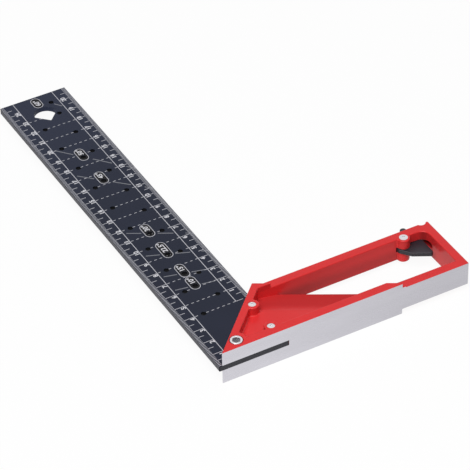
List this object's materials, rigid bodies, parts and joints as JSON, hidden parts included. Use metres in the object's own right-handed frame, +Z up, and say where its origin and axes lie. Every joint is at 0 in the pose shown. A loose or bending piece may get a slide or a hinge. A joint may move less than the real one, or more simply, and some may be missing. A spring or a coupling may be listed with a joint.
{
  "type": "angle ruler",
  "caption": "Try square for angles: a black graduated blade with pencil holes, fixed in a red cast stock with a bare measuring face, a finger gap and a small swing-out support ledge.",
  "frame": {"origin": "centre of the square's outline, on the surface that the stock lies on", "axes": "+X along the stock from the blade, +Y along the blade from the stock, +Z up out of the flat of the square"},
  "size_m": [0.147, 0.25, 0.02],
  "materials": {
    "blade_black": "black anodised, with pale graduations",
    "stock_red": "satin red paint on cast aluminium, with a bare milled measuring face",
    "fastener_steel": "bright zinc-plated steel",
    "ledge_black": "moulded black",
    "washer_nylon": "black nylon"
  },
  "bodies": {
    "square": {"blade": "blade_black", "stock_frame": "stock_red", "blade_screw": "fastener_steel", "mitre_rivet": "fastener_steel", "rail_rivet": "fastener_steel", "ledge_pin": "fastener_steel", "upper_friction_washer": "washer_nylon", "lower_friction_washer": "washer_nylon"},
    "ledge": {"support_ledge": "ledge_black"}
  },
  "joints": [
    {"name": "ledge_swing", "type": "hinge", "parent": "square", "child": "ledge", "pos_m": [0.0555, -0.0902, 0.01], "axis": [0, 0, 1], "range_deg": [-50, 0]}
  ]
}
